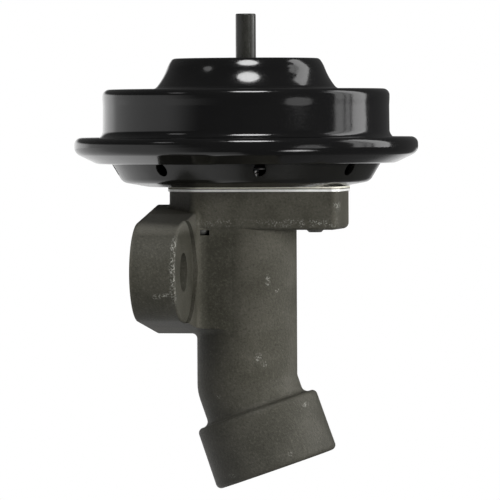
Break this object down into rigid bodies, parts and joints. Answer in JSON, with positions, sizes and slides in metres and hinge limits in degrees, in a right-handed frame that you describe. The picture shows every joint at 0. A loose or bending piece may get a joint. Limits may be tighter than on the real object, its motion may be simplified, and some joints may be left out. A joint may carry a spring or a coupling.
{
  "type": "exhaust gas recirculation valve",
  "caption": "Vacuum-operated exhaust gas recirculation valve: cast body with bolt flange and angled threaded inlet, vented bowl, round black diaphragm cover and hose nipple.",
  "frame": {"origin": "centre of the outlet port in the flange's mounting face", "axes": "-X out of the outlet, square to the mounting face; +Y along the line of the two bolt holes; +Z along the stem and the vacuum nipple, towards the cover. The stem axis is at X = 21.4 mm. The valve is closed at rest."},
  "size_m": [0.0824, 0.0824, 0.1138],
  "materials": {
    "cast_iron_body": "as cast, darkened, dull",
    "black_enamel": "gloss black enamel on pressed steel",
    "nipple_enamel": "satin black enamel",
    "shield_steel": "bright sheet edge",
    "gasket_fibre": "tan pressed fibre",
    "seat_steel": "turned, sooted",
    "guide_iron": "sintered",
    "packing_graphite": "pressed graphite",
    "plated_steel": "zinc plated",
    "spring_steel": "drawn wire",
    "stem_steel": "ground",
    "diaphragm_rubber": "cloth-backed silicone rubber"
  },
  "bodies": {
    "housing": {"valve_body": "cast_iron_body", "valve_seat": "seat_steel", "guide_bushing": "guide_iron", "stem_packing": "packing_graphite", "packing_retainer": "plated_steel", "heat_shield": "shield_steel", "base_gasket": "gasket_fibre", "lower_bowl": "black_enamel", "upper_cover": "black_enamel", "vacuum_nipple": "nipple_enamel", "housing_screws": "plated_steel", "screw_washers": "plated_steel", "spring_seat": "plated_steel", "return_spring": "spring_steel", "diaphragm": "diaphragm_rubber"},
    "stem_assembly": {"pintle": "stem_steel", "valve_stem": "stem_steel", "shoulder_washer": "plated_steel", "lower_plate": "plated_steel", "support_cup": "plated_steel", "stem_washer": "plated_steel", "stem_nut": "plated_steel"}
  },
  "joints": [
    {"name": "valve_lift", "type": "slide", "parent": "housing", "child": "stem_assembly", "axis": [0, 0, 1], "range_m": [0, 0.006], "stiffness_N_per_m": 1200, "springref_m": -0.012, "deforming": ["return_spring", "diaphragm"]}
  ]
}
